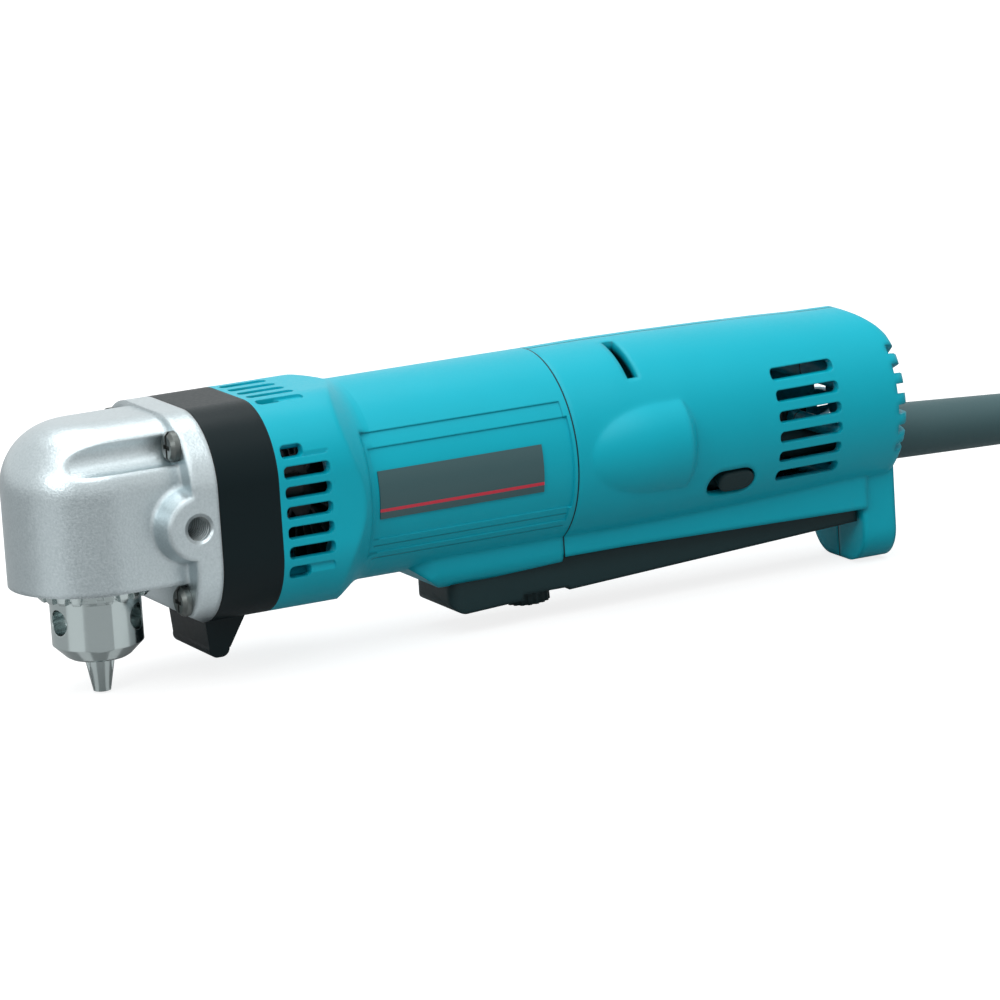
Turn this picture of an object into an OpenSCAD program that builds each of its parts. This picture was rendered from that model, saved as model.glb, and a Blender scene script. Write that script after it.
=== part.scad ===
// Corded right angle drill: cast gear head, black guard collar, tube motor housing,
// split rear handle with a paddle lever, keyed three jaw chuck and a mains lead.
// Millimetres. +X runs along the motor axis towards the cord, +Z is up, the chuck points down.
// The origin is the mouth of the closed jaws, on the spindle axis, level with the rear foot.

/* [Body] */
// Height of the motor axis above the jaw tips and the rear foot
axis_height = 47; // [46:0.5:48]
// Distance from the spindle axis to the seam between motor housing and handle
seam_x = 134.5; // [134:0.5:138]
// Outer radius of the motor tube
tube_r = 28; // [27.6:0.1:28.4]
// Wall of the plastic housings
shell_wall = 2.8; // [2.4:0.1:3.2]
// Width of the rounded square front section
front_width = 61; // [60:0.5:63]
// Height of the rounded square front section
front_height = 58.7; // [58.5:0.1:59.3]
// Corner radius of the rounded square front section
front_corner = 20; // [18:0.5:20.5]
// Length from the front section's collar joint to the start of its neck
vent_section = 21.7; // [20:0.1:24]
// Length of the neck from the rounded square down to the tube
neck_length = 10; // [8:0.5:12]

/* [Gear head] */
// Radius of the head's nose about the spindle
head_r = 23.2; // [22.6:0.1:24]
// Height of the head's crown above the motor axis
head_top = 28; // [27:0.5:29]
// Depth of the head's underside below the motor axis
head_drop = 16; // [15.5:0.25:17]
// Rounding between the crown and the sides
crown_r = 17.5; // [16:0.5:19]
// Front face of the head's rear flange
flange_x = 18; // [17:0.25:19]
// Joint face between the gear head and the guard collar
collar_x = 25.5; // [25:0.25:27]
// Length of the guard collar
collar_length = 17.5; // [17:0.25:19]
// Distance of the four head screws in from the sides of the front section
screw_inset = 9.7; // [9:0.1:10.5]
// Upright place of the four head screws
screw_z = 21.2; // [20.5:0.1:21.8]
// Major radius of the head screws
screw_r = 2.5; // [2:0.1:2.7]
// Head radius of the head screws
screw_head_r = 4.2; // [3.8:0.1:4.5]
// Wall radius of the tapped side handle holes (M8)
side_thread_r = 3.4; // [3:0.1:3.6]
// Depth of the tapped side handle holes
side_thread_depth = 13; // [10:0.5:14]
// Radius of the bosses round the side handle holes
side_boss_r = 8.7; // [8:0.1:9.2]

/* [Gear train] */
// Module of the first stage spur gears
spur_module = 0.6; // [0.6:0.01:0.62]
// Outer module of the bevel gears
bevel_module = 1.1; // [1.05:0.01:1.12]
// Face width of the bevel teeth
bevel_face = 4.6; // [4:0.1:5]

/* [Chuck] */
// Radius of the chuck body
chuck_r = 12.5; // [12.3:0.1:13]
// Outer radius of the toothed sleeve
sleeve_r = 15.75; // [15.5:0.05:16]
// Teeth round the sleeve
sleeve_teeth = 22; // [18:1:26]
// Tilt of the jaws from the spindle axis
jaw_tilt = 14; // [13.5:0.1:14.5]
// Radius of a jaw's round shank
jaw_r = 2.9; // [2.7:0.05:3]
// Half the opening of the closed jaws
jaw_closed_r = 0.75; // [0.5:0.05:1]
// Half the opening of the fully open jaws
jaw_open_r = 5; // [4.5:0.1:5]
// Height of a jaw along the spindle axis
jaw_height = 15; // [14.5:0.1:15.2]
// Radius of the key pilot holes
key_hole_r = 3.6; // [3:0.1:3.8]

/* [Handle] */
// Rear end of the handle's barrel
handle_end = 242; // [241:0.5:243]
// Half width of the lever skirt
skirt_half = 16; // [15.6:0.1:16.6]
// Half width of the paddle lever
lever_half = 12.5; // [12:0.1:12.8]
// Wall of the paddle lever
lever_wall = 2.4; // [2:0.1:2.8]
// Half width of the rear foot
foot_half = 15; // [14:0.5:16]
// Thickness of the rear foot
foot_thick = 10.5; // [10:0.25:12]
// Radius of the speed wheel
wheel_r = 6.4; // [6:0.1:6.8]

/* [Vents] */
// Height of the side vent slots
vent_h = 3.5; // [3:0.1:3.7]
// Spacing of the front vent slots
vent_pitch = 5.5; // [5.3:0.1:5.8]
// Length of the front vent slots
vent_length = 13.7; // [12:0.1:14.5]
// Spacing of the rear vent slots
rear_vent_pitch = 5.8; // [5.6:0.1:6]
// Length of the rear vent slots
rear_vent_length = 20.6; // [18:0.2:22]

/* [Cord] */
// Outer radius of the mains cord
cord_r = 4; // [3.8:0.05:4.1]
// Radius of the cord guard at the handle
guard_root_r = 8.2; // [7.8:0.1:8.6]
// Radius of the cord guard at its free end
guard_tip_r = 5.8; // [5.4:0.1:6.4]
// Length of the cord guard outside the handle
guard_length = 56; // [50:1:58]

/* [Hidden] */
$fn = 64;

aluminium = [0.78, 0.80, 0.81];
steel = [0.62, 0.64, 0.66];
teal = [0.05, 0.58, 0.66];
black_plastic = [0.10, 0.12, 0.13];
dark_rubber = [0.20, 0.22, 0.23];
copper = [0.72, 0.40, 0.22];
far = 400;
gap = 0.3;
run = 0.05;
motor_teeth = 9;
spur_teeth = 31;
pinion_teeth = 10;
crown_teeth = 28;

motor_front = collar_x + collar_length;
neck_x = motor_front + vent_section;
tube_x = neck_x + neck_length;
bore_r = tube_r - shell_wall;
front_drop = 0.65;
screw_y = front_width / 2 - screw_inset;
front_top = front_height / 2 - front_drop;
front_low = front_height / 2 + front_drop;
inter_z = spur_module * (motor_teeth + spur_teeth) / 2;

module at_axis() translate([0, 0, axis_height]) children();
module along_x(x0, x1) translate([x0, 0, 0]) rotate([90, 0, 90]) linear_extrude(x1 - x0) children();
module along_y(y0, y1) translate([0, y1, 0]) rotate([90, 0, 0]) linear_extrude(y1 - y0) children();
module rod_x(r, x0, x1, y = 0, z = 0) translate([x0, y, z]) rotate([0, 90, 0]) cylinder(r = r, h = x1 - x0);
module rod_y(r, y0, y1, x = 0, z = 0) translate([x, y1, z]) rotate([90, 0, 0]) cylinder(r = r, h = y1 - y0);
module rod_z(r, z0, z1, x = 0, y = 0) translate([x, y, z0]) cylinder(r = r, h = z1 - z0);
module cone_x(r0, r1, x0, x1, z = 0)
    translate([x0, 0, z]) rotate([0, 90, 0]) cylinder(r1 = r0, r2 = r1, h = x1 - x0);
// Turns a profile drawn as (distance along X, radius) about the X axis
module turned_x(angle = 360)
    rotate([0, 90, 0]) rotate_extrude(angle = angle) rotate(90) mirror([0, 1]) children();
module both_sides() {
    children();
    mirror([0, 1, 0]) children();
}
module rounded_rect(w, h, r) {
    square([w - 2 * r, h], center = true);
    square([w, h - 2 * r], center = true);
    for (sx = [-1, 1], sy = [-1, 1]) translate([sx * (w / 2 - r), sy * (h / 2 - r)]) circle(r);
}
module front_outline() translate([0, -front_drop]) rounded_rect(front_width, front_height, front_corner);
module at_head_screws() for (sy = [-1, 1], sz = [-1, 1]) translate([0, sy * screw_y, sz * screw_z]) children();

// Gear head
head_bore_r = 18;
upper_bearing_r = 11;
upper_bearing_z = 17.5;
upper_bearing_h = 6;
lower_bearing_r = 12;
lower_bearing_z = -11.5;
lower_bearing_h = 6;
retainer_r = 14.5;
retainer_h = 1.5;
chuck_recess_z = lower_bearing_z - retainer_h;
pinion_bearing_r = 11;
pinion_bearing_x = flange_x + 0.5;
pinion_bearing_h = 6;
side_x = 19.2;
boss_flare = 2.2;
flute_r = 5;
flute_x = -11;
flange_low = 25.6;

module crown_profile() {
    translate([0, -head_drop]) square([head_r, head_drop + head_top - crown_r]);
    square([head_r - crown_r, head_top]);
    translate([head_r - crown_r, head_top - crown_r]) circle(crown_r);
}
module half_crown() intersection() {
    crown_profile();
    translate([0, -far]) square([far, 2 * far]);
}
module gear_housing() color(aluminium) at_axis() difference() {
    union() {
        rotate_extrude() half_crown();
        along_x(0, flange_x + 1) {
            half_crown();
            mirror([1, 0]) half_crown();
        }
        along_x(flange_x, collar_x) front_outline();
        intersection() {
            both_sides() translate([side_x, head_r - 1, 0]) rotate([-90, 0, 0])
                cylinder(r1 = side_boss_r + boss_flare, r2 = side_boss_r, h = front_width / 2 - head_r + 1);
            translate([0, -far, -far]) cube([collar_x, 2 * far, 2 * far]);
        }
    }
    at_head_screws() {
        rod_x(screw_r + 0.1, flange_x - 1, collar_x + 1);
    }
    both_sides() translate([0, screw_y, screw_z]) {
        rod_x(flute_r, flute_x, flange_x);
        translate([flute_x, 0, 0]) sphere(flute_r);
    }
    both_sides() rod_y(side_thread_r, front_width / 2 - side_thread_depth, front_width / 2 + 1, side_x, 0);
    along_y(-far, far) polygon([[flange_x - 1, -flange_low], [flange_x, -flange_low], [collar_x, -front_low],
        [collar_x, -far], [flange_x - 1, -far]]);
    rod_z(head_bore_r, lower_bearing_z + lower_bearing_h + 2, upper_bearing_z - 2);
    rod_z(upper_bearing_r - 2, upper_bearing_z - 3, upper_bearing_z);
    rod_z(upper_bearing_r, upper_bearing_z, upper_bearing_z + upper_bearing_h);
    rod_z(lower_bearing_r - 2, lower_bearing_z, lower_bearing_z + lower_bearing_h + 3);
    rod_z(lower_bearing_r, lower_bearing_z, lower_bearing_z + lower_bearing_h);
    rod_z(retainer_r, chuck_recess_z, lower_bearing_z);
    rod_z(sleeve_r + 0.8, -head_drop - 1, chuck_recess_z);
    rod_x(pinion_bearing_r - 2, upper_bearing_r - 1.5, collar_x, 0, inter_z);
    rod_x(pinion_bearing_r, pinion_bearing_x, collar_x + 1, 0, inter_z);
}
screw_reach = 14;
module gear_housing_screws() color(steel) at_axis() at_head_screws() {
    rod_x(screw_r, flange_x, motor_front + screw_reach);
    difference() {
        turned_x() polygon([[flange_x - 2.6, 0], [flange_x - 2.6, screw_head_r - 1],
            [flange_x - 1.6, screw_head_r], [flange_x, screw_head_r], [flange_x, 0]]);
        translate([flange_x - 3, -0.6, -far / 2]) cube([1.6, 1.2, far]);
        translate([flange_x - 3, -screw_head_r / 2, -0.6]) cube([1.6, screw_head_r, 1.2]);
    }
}
module upper_spindle_bearing() color(steel) at_axis() difference() {
    rod_z(upper_bearing_r, upper_bearing_z, upper_bearing_z + upper_bearing_h);
    rod_z(spindle_top_r + run, upper_bearing_z - 1, upper_bearing_z + upper_bearing_h + 1);
    translate([0, 0, upper_bearing_z - 0.5]) race_groove(spindle_top_r, upper_bearing_r);
}
module lower_spindle_bearing() color(steel) at_axis() difference() {
    rod_z(lower_bearing_r, lower_bearing_z, lower_bearing_z + lower_bearing_h);
    rod_z(spindle_r + run, lower_bearing_z - 1, lower_bearing_z + lower_bearing_h + 1);
    translate([0, 0, lower_bearing_z - 0.5]) race_groove(spindle_r, lower_bearing_r);
}
// Shallow ring between a ball bearing's two races
module race_groove(r_in, r_out) difference() {
    cylinder(r = r_out - 1.6, h = 1.2);
    translate([0, 0, -1]) cylinder(r = r_in + 1.6, h = 4);
}
module bearing_retainer() color(steel) at_axis() difference() {
    rod_z(retainer_r, chuck_recess_z, lower_bearing_z);
    rod_z(spindle_r + 2, chuck_recess_z - 1, lower_bearing_z + 1);
}

// Guard collar
collar_bore_r = 24;
fin_half = 12.5;
fin_front = 26;
fin_back = 38.2;
fin_depth = 40.6;
fin_tip = 2.4;
module fin_profile() {
    difference() {
        polygon([[fin_front, -collar_bore_r - 2], [fin_front + 1.4, -fin_depth], [fin_front + 5.8, -fin_depth],
            [fin_back, -front_low], [fin_back, -collar_bore_r - 2]]);
        translate([fin_front, -fin_depth - fin_tip]) square([far, 2 * fin_tip]);
    }
    translate([fin_front + 1 + fin_tip, -fin_depth + fin_tip]) circle(fin_tip);
    translate([fin_front + 1 + fin_tip, -fin_depth]) square([1.2, 2 * fin_tip]);
    translate([fin_front + 2.2 + fin_tip, -fin_depth + fin_tip]) circle(fin_tip);
}
module finger_guard_collar() color(black_plastic) at_axis() difference() {
    union() {
        along_x(collar_x, motor_front) front_outline();
        along_y(-fin_half, fin_half) fin_profile();
    }
    rod_x(collar_bore_r, collar_x - 1, motor_front + 1);
    at_head_screws() rod_x(screw_r + 0.1, collar_x - 1, motor_front + 1);
}

// Gear plate with the motor's front bearing and the pinion's rear bearing
plate_x = collar_x + 8.1;
rear_pinion_r = 6.5;
rear_pinion_h = 3.6;
motor_bearing_r = 11;
motor_bearing_h = 7;
motor_bearing_x = plate_x + rear_pinion_h + 1;
plate_boss_r = 13.5;
shaft_r = 4;
module gear_plate() color(aluminium) at_axis() difference() {
    union() {
        rod_x(collar_bore_r, plate_x, motor_front);
        rod_x(plate_boss_r, motor_front, motor_bearing_x + motor_bearing_h);
    }
    rod_x(motor_bearing_r, motor_bearing_x, motor_bearing_x + motor_bearing_h + 1);
    rod_x(shaft_r + 1, plate_x - 1, motor_bearing_x + 1);
    rod_x(rear_pinion_r, plate_x - 1, plate_x + rear_pinion_h, 0, inter_z);
}
module ring_x(r_out, r_in, x0, x1, z = 0) difference() {
    rod_x(r_out, x0, x1, 0, z);
    rod_x(r_in, x0 - 1, x1 + 1, 0, z);
}
module front_motor_bearing() color(steel) at_axis()
    ring_x(motor_bearing_r, shaft_r + run, motor_bearing_x, motor_bearing_x + motor_bearing_h);
pinion_shaft_r = 5;
pinion_tail_r = 3;
module pinion_bearings() color(steel) at_axis() {
    ring_x(pinion_bearing_r, pinion_shaft_r + run, pinion_bearing_x, pinion_bearing_x + pinion_bearing_h, inter_z);
    ring_x(rear_pinion_r, pinion_tail_r + run, plate_x, plate_x + rear_pinion_h, inter_z);
}

// Gears. A spur outline runs root, flank and tip for each tooth, thinned for backlash.
tooth_thin = 0.86;
tooth_shape = [[-0.36, -1.25], [-0.25, 0], [-0.11, 1], [0.11, 1], [0.25, 0], [0.36, -1.25]];
function spur_outline(teeth, m) = [for (i = [0 : teeth - 1], p = tooth_shape)
    let (a = 360 / teeth * (i + p[0] * tooth_thin), r = teeth * m / 2 + p[1] * m) [r * cos(a), r * sin(a)]];
spur_x = collar_x + 1.5;
spur_face = 5.6;
spur_turn = 180 / spur_teeth;
module spur_gear() color(steel) at_axis() difference() {
    translate([0, 0, inter_z]) along_x(spur_x, spur_x + spur_face) rotate(90 + spur_turn)
        polygon(spur_outline(spur_teeth, spur_module));
    rod_x(pinion_shaft_r - 0.5, spur_x - 1, spur_x + spur_face + 1, 0, inter_z);
}
// Bevel teeth converge on the point where the pinion and spindle axes cross.
crown_pitch_r = crown_teeth * bevel_module / 2;
pinion_pitch_r = pinion_teeth * bevel_module / 2;
cone_length = sqrt(crown_pitch_r * crown_pitch_r + pinion_pitch_r * pinion_pitch_r);
pinion_cone = atan2(pinion_pitch_r, crown_pitch_r);
inner_share = 1 - bevel_face / cone_length;
bevel_steps = [[-0.40, -1.2], [-0.12, 0.95], [0.12, 0.95], [0.40, -1.2]];
// Point of a bevel tooth: axial distance from the apex and radius, scaled towards the apex
function bevel_point(teeth, cone, i, p, share) =
    let (a = 360 / teeth * (i + p[0] * tooth_thin),
        along = cone_length * cos(cone) - p[1] * bevel_module * sin(cone),
        r = cone_length * sin(cone) + p[1] * bevel_module * cos(cone))
    [share * r * cos(a), share * r * sin(a), share * along];
function bevel_ring(teeth, cone, share) =
    [for (i = [0 : teeth - 1], p = bevel_steps) bevel_point(teeth, cone, i, p, share)];
heel = 0.6;
module bevel_teeth(teeth, cone) {
    n = 4 * teeth;
    root_r = cone_length * sin(cone) - 1.2 * bevel_module * cos(cone);
    base_z = cone_length * cos(cone) + 1.2 * bevel_module * sin(cone) + heel;
    base = [for (p = bevel_ring(teeth, cone, 1))
        let (a = atan2(p[1], p[0])) [root_r * cos(a), root_r * sin(a), base_z]];
    middles = [[0, 0, cone_length * cos(cone) * inner_share], [0, 0, base_z]];
    points = concat(bevel_ring(teeth, cone, inner_share), bevel_ring(teeth, cone, 1), base, middles);
    walls = [for (ring = [0, 1], k = [0 : n - 1]) let (a = ring * n, b = a + n, j = (k + 1) % n)
        each [[a + k, b + j, a + j], [a + k, b + k, b + j]]];
    ends = [for (k = [0 : n - 1]) let (j = (k + 1) % n) each [[k, j, 3 * n], [2 * n + j, 2 * n + k, 3 * n + 1]]];
    polyhedron(points = points, faces = concat(walls, ends), convexity = 6);
}
gear_back = 5.4;
gear_hub_r = 9;
module bevel_gear() color(steel) at_axis() translate([0, 0, inter_z]) difference() {
    union() {
        rotate([180, 0, 0]) bevel_teeth(crown_teeth, 90 - pinion_cone);
        rod_z(crown_pitch_r - bevel_module, -pinion_pitch_r - gear_back, -pinion_pitch_r - 1.2 * bevel_module);
        rod_z(gear_hub_r, lower_bearing_z + lower_bearing_h - inter_z + 1, -pinion_pitch_r - gear_back);
    }
    rod_z(spindle_r, -far / 2, far / 2);
}
pinion_turn = 18;
module bevel_pinion() color(steel) at_axis() translate([0, 0, inter_z]) {
    rotate([0, 90, 0]) rotate(pinion_turn) bevel_teeth(pinion_teeth, pinion_cone);
    rod_x(pinion_pitch_r - 1.5 * bevel_module, crown_pitch_r - 0.5, pinion_bearing_x);
    rod_x(pinion_shaft_r, pinion_bearing_x - 0.6, spur_x);
    rod_x(pinion_shaft_r - 0.5, spur_x, spur_x + spur_face);
    rod_x(pinion_tail_r, spur_x + spur_face, plate_x + rear_pinion_h);
}

// Spindle and chuck. Chuck heights count from the tips of the closed jaws.
spindle_r = 6;
spindle_top_r = 5;
stud_r = 4.7;
stud_length = 6;
chuck_top = axis_height + chuck_recess_z - gap;
nose_z = 9.7;
nose_r = 9;
edge_z = 13.7;
sleeve_low = 26.9;
sleeve_high = chuck_top - gap;
nut_low = sleeve_low + 1.1;
nut_high = sleeve_high - 1.4;
nut_r = 14.2;
tooth_h = 2.6;
key_z = 21;
key_depth = 4.6;
first_jaw = 11.5;
jaw_root = 1;
jaw_gap = 0.15;
tip_r = 2.4;
tip_flare = 0.19;
jaw_grip = 9.4;
jaw_relief = 1;
flat_half = 16;
jaw_travel = (jaw_open_r - jaw_closed_r) / sin(jaw_tilt);
jaw_rise = jaw_travel * cos(jaw_tilt);

module spindle() color(steel) {
    at_axis() {
        rod_z(spindle_r, chuck_recess_z - gap, upper_bearing_z);
        rod_z(spindle_top_r, upper_bearing_z, upper_bearing_z + upper_bearing_h - gap);
    }
    rod_z(stud_r, chuck_top - stud_length, chuck_top);
}
module at_jaws() for (i = [0 : 2]) rotate(first_jaw + 120 * i) children();
// Straight round shank of a jaw, leaning out from the tip
module jaw_shank(r, z0, z1) intersection() {
    translate([jaw_root, 0, 0]) rotate([0, jaw_tilt, 0]) translate([0, 0, -20]) cylinder(r = r, h = 80);
    translate([-20, -20, z0]) cube([60, 40, z1 - z0]);
}
module chuck_body() color(steel) difference() {
    rotate_extrude() polygon([[0, nose_z], [nose_r - 1, nose_z], [nose_r, nose_z + 0.6], [chuck_r, edge_z],
        [chuck_r, chuck_top], [0, chuck_top]]);
    at_jaws() {
        jaw_shank(jaw_r + run, nose_z - 1, jaw_height + jaw_rise + 0.6);
        translate([chuck_r * cos(flat_half), -chuck_r, edge_z - 2])
            cube([5, 2 * chuck_r, sleeve_low - edge_z + 1.4]);
        rotate([0, 0, 60]) translate([0, 0, key_z]) rotate([0, 90, 0]) translate([0, 0, chuck_r - key_depth])
            cylinder(r = key_hole_r, h = key_depth + 2);
    }
    rod_z(jaw_open_r + gap, nose_z - 1, chuck_top - stud_length);
    rod_z(stud_r, chuck_top - stud_length - 1, chuck_top + 1);
}
module chuck_sleeve() color(steel) difference() {
    rotate_extrude() polygon([[chuck_r + run, sleeve_low], [sleeve_r - 0.6, sleeve_low], [sleeve_r, sleeve_low + 0.8],
        [sleeve_r, sleeve_high - 0.8], [sleeve_r - 0.8, sleeve_high], [chuck_r + run, sleeve_high],
        [chuck_r + run, nut_high], [nut_r, nut_high], [nut_r, nut_low], [chuck_r + run, nut_low]]);
    for (i = [0 : sleeve_teeth - 1]) rotate(360 / sleeve_teeth * (i + 0.5)) rotate([90, 0, 90])
        translate([0, 0, chuck_r + 0.8]) linear_extrude(8)
        polygon([[-1.35, sleeve_low - 1], [1.35, sleeve_low - 1],
            [0.75, sleeve_low + tooth_h], [-0.75, sleeve_low + tooth_h]]);
}
module chuck_nut() color(steel) difference() {
    rod_z(nut_r, nut_low, nut_high);
    rod_z(chuck_r + run, nut_low - 1, nut_high + 1);
}
module chuck_jaw(i) color(steel) rotate(first_jaw + 120 * i) difference() {
    intersection() {
        jaw_shank(jaw_r, 0, jaw_height);
        union() {
            cylinder(r1 = tip_r, r2 = tip_r + tip_flare * nose_z, h = nose_z);
            translate([0, 0, nose_z + 0.6]) cylinder(r = 12, h = jaw_height);
            translate([0, 0, nose_z]) cylinder(r1 = tip_r + tip_flare * nose_z, r2 = 12, h = 0.6);
        }
        linear_extrude(jaw_height) polygon([[jaw_gap / sin(60), 0], [20, 20 * tan(60)], [40, 0], [20, -20 * tan(60)]]);
    }
    rod_z(jaw_closed_r, -1, jaw_height + 1);
    rod_z(jaw_closed_r + jaw_relief, jaw_grip, jaw_height + 1);
}
module chuck_jaw_1() chuck_jaw(0);
module chuck_jaw_2() chuck_jaw(1);
module chuck_jaw_3() chuck_jaw(2);

// Motor, front to back along the axis
core_length = 36;
core_inset = 5.5;
core_end = seam_x - core_inset;
core_x = core_end - core_length;
armature_r = 16;
field_inner_r = 16.6;
winding_r = 14.6;
coil_end = 8;
coil_gap = 1;
coil_front = core_x - coil_gap - coil_end;
coil_rear = core_end + coil_gap + coil_end;
baffle_thick = 2;
baffle_bore_r = 17;
baffle_clear = 6.5;
baffle_x = coil_front - baffle_clear - baffle_thick;
fan_length = 11;
fan_r = 23.6;
fan_blades = 15;
fan_clear = 2.5;
fan_x = baffle_x - fan_clear - fan_length;
brush_clear = 22;
brush_x = coil_rear + brush_clear;
commutator_r = 11;
commutator_length = 14;
rear_bearing_x = brush_x + 9;
rear_bearing_r = 9.5;
rear_bearing_h = 5;
shaft_tail_r = 3.5;
shaft_end = rear_bearing_x + rear_bearing_h;
module armature_shaft() color(steel) at_axis() {
    along_x(spur_x - 0.3, plate_x) rotate(30) polygon(spur_outline(motor_teeth, spur_module));
    rod_x(shaft_r, plate_x - 0.2, rear_bearing_x - 0.4);
    rod_x(shaft_tail_r, rear_bearing_x - 0.4, shaft_end);
}
module armature_core() color([0.35, 0.36, 0.38]) at_axis() difference() {
    rod_x(armature_r, core_x, core_end);
    rod_x(shaft_r, core_x - 1, core_end + 1);
    for (i = [0 : 11]) rotate([30 * i, 0, 0])
        translate([core_x - 1, -0.9, armature_r - 3]) cube([core_length + 2, 1.8, 5]);
}
winding_ends = [[core_x - coil_end, core_x], [core_end, core_end + coil_end]];
module armature_windings() color(copper) at_axis() for (end = winding_ends)
    difference() {
        turned_x() {
            polygon([[end[0] + 2, shaft_r], [end[1] - 2, shaft_r], [end[1], winding_r - 2], [end[1], winding_r],
                [end[0] + 2, winding_r], [end[0], winding_r - 2], [end[0], shaft_r + 3]]);
        }
        rod_x(shaft_r, end[0] - 1, end[1] + 1);
    }
module commutator() color(copper) at_axis() difference() {
    rod_x(commutator_r, brush_x - commutator_length / 2, brush_x + commutator_length / 2);
    rod_x(shaft_r, brush_x - commutator_length, brush_x + commutator_length);
    for (i = [0 : 23]) rotate([15 * i, 0, 0])
        translate([brush_x - commutator_length / 2 - 1, -0.2, commutator_r - 0.7]) cube([commutator_length + 2, 0.4, 2]);
}
module cooling_fan() color([0.15, 0.15, 0.16]) at_axis() difference() {
    union() {
        rod_x(9, fan_x, fan_x + fan_length);
        rod_x(fan_r, fan_x + fan_length - 2, fan_x + fan_length);
        for (i = [0 : fan_blades - 1]) rotate([360 / fan_blades * i, 0, 0])
            translate([fan_x, -0.7, 8]) cube([fan_length - 1, 1.4, fan_r - 9]);
    }
    rod_x(shaft_r, fan_x - 1, fan_x + fan_length + 1);
}
module rear_motor_bearing() color(steel) at_axis()
    ring_x(rear_bearing_r, shaft_tail_r + run, rear_bearing_x, rear_bearing_x + rear_bearing_h);
module field_core() color([0.42, 0.43, 0.45]) at_axis() difference() {
    rod_x(bore_r, core_x - coil_gap, core_end + coil_gap);
    rod_x(field_inner_r, core_x - coil_gap - 1, core_end + coil_gap + 1);
}
coil_ends = [[coil_front, coil_front + coil_end], [coil_rear - coil_end, coil_rear]];
module field_coils() color(copper) at_axis() for (end = coil_ends)
    ring_x(spigot_r - 0.8, field_inner_r + 0.8, end[0], end[1]);
module baffle_plate() color(black_plastic) at_axis()
    ring_x(bore_r, baffle_bore_r, baffle_x, baffle_x + baffle_thick);
holder_length = 11;
holder_half = 4;
brush_length = 8;
brush_depth = 10;
brush_half = 2.6;
holder_in = commutator_r + 1;
holder_out = 26;
module brush_holders() color([0.75, 0.62, 0.30]) at_axis() both_sides() difference() {
    translate([brush_x - holder_length / 2, holder_in, -holder_half])
        cube([holder_length, holder_out - holder_in, 2 * holder_half]);
    translate([brush_x - brush_length / 2, holder_in - 1, -brush_half])
        cube([brush_length, holder_out - holder_in - 1, 2 * brush_half]);
}
module carbon_brushes() color([0.12, 0.12, 0.12]) at_axis() both_sides()
    translate([brush_x - brush_length / 2, commutator_r + run, -brush_half])
        cube([brush_length, brush_depth, 2 * brush_half]);

// Motor housing: rounded square front, neck, tube and the chin over the lever
spigot_r = bore_r - 1.7;
spigot_x0 = core_end + 1.5;
spigot_x1 = seam_x + 4.5;
neck_steps = 8;
neck_start = neck_x - 5;
neck_r = norm([front_width / 2 - front_corner, front_low - front_corner]) + front_corner + 0.3;
vent_x = motor_front + 1.9;
vent_wall = 3.2;
vent_corner = 1.3;
post_r = 5.2;
top_pitch = 6;
top_vent = 3;
half_open = 6.6;
chin_x = 87;
chin_low = 32.6;
chin_corner = 6;
chin_nose = 9;
channel_x = 100.4;
channel_half = lever_half + 0.5;
channel_roof_r = bore_r + 1.2;
panel_x0 = 71;
panel_x1 = 132.3;
panel_step = 0.4;
panel_outer = 37;
panel_inner = 27.5;
label_x = 74;
label_length = 50;
label_half = 14;
label_thick = 0.45;
function neck_point(t) = [neck_start + (tube_x - neck_start) * t,
    tube_r + (neck_r - tube_r) * (0.5 + 0.5 * cos(180 * t))];
// Turned piece centred on the near side, half angle each way
module side_sector(half) rotate([-90 - half, 0, 0]) turned_x(2 * half) children();
module slot(length, height, corner) translate([length / 2, 0]) rounded_rect(length, height, corner);
module lever_channel(x0, x1) translate([x0, -channel_half, -far]) cube([x1 - x0, 2 * channel_half, far - 20]);
// Rounded nose under the tube that the lever's front end comes out of
module chin() intersection() {
    along_y(-skirt_half, skirt_half) polygon([[chin_x, -20], [chin_x, -24.5], [chin_x + 5, -28.4],
        [chin_x + 9.6, -chin_low + 0.6], [chin_x + 13, -chin_low], [chin_x + 17, -chin_low],
        [chin_x + 29, -chin_low + 1.1], [seam_x, -chin_low + 2.3], [seam_x, -20]]);
    along_x(chin_x, seam_x) rounded_rect(2 * skirt_half, 2 * chin_low, chin_corner);
    translate([chin_x + far / 2, 0, -far]) linear_extrude(far) rounded_rect(far, 2 * skirt_half, chin_nose);
}
module motor_solid() {
    intersection() {
        along_x(motor_front, tube_x) front_outline();
        turned_x() polygon(concat([[motor_front - 1, 0], [motor_front - 1, neck_r]],
            [for (i = [0 : neck_steps]) neck_point(i / neck_steps)], [[tube_x, 0]]));
    }
    rod_x(tube_r, motor_front, seam_x);
    chin();
}
module front_vents() {
    both_sides() for (i = [-3 : 3]) {
        open = abs(i) == 3 ? half_open : vent_length;
        translate([vent_x, 0, i * vent_pitch]) {
            along_y(front_width / 2 - vent_wall - 2, front_width / 2 + 1) slot(open, vent_h, vent_corner);
            along_y(front_width / 2 - 1.4, front_width / 2 + 1) slot(vent_length, vent_h, vent_corner);
        }
    }
    for (i = [-2.5 : 2.5]) translate([vent_x, i * top_pitch, 0]) {
        translate([0, 0, front_top - vent_wall - 2]) linear_extrude(far) slot(half_open, top_vent, vent_corner);
        translate([0, 0, front_top - 1]) linear_extrude(far) slot(vent_length, top_vent, vent_corner);
    }
}
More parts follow.
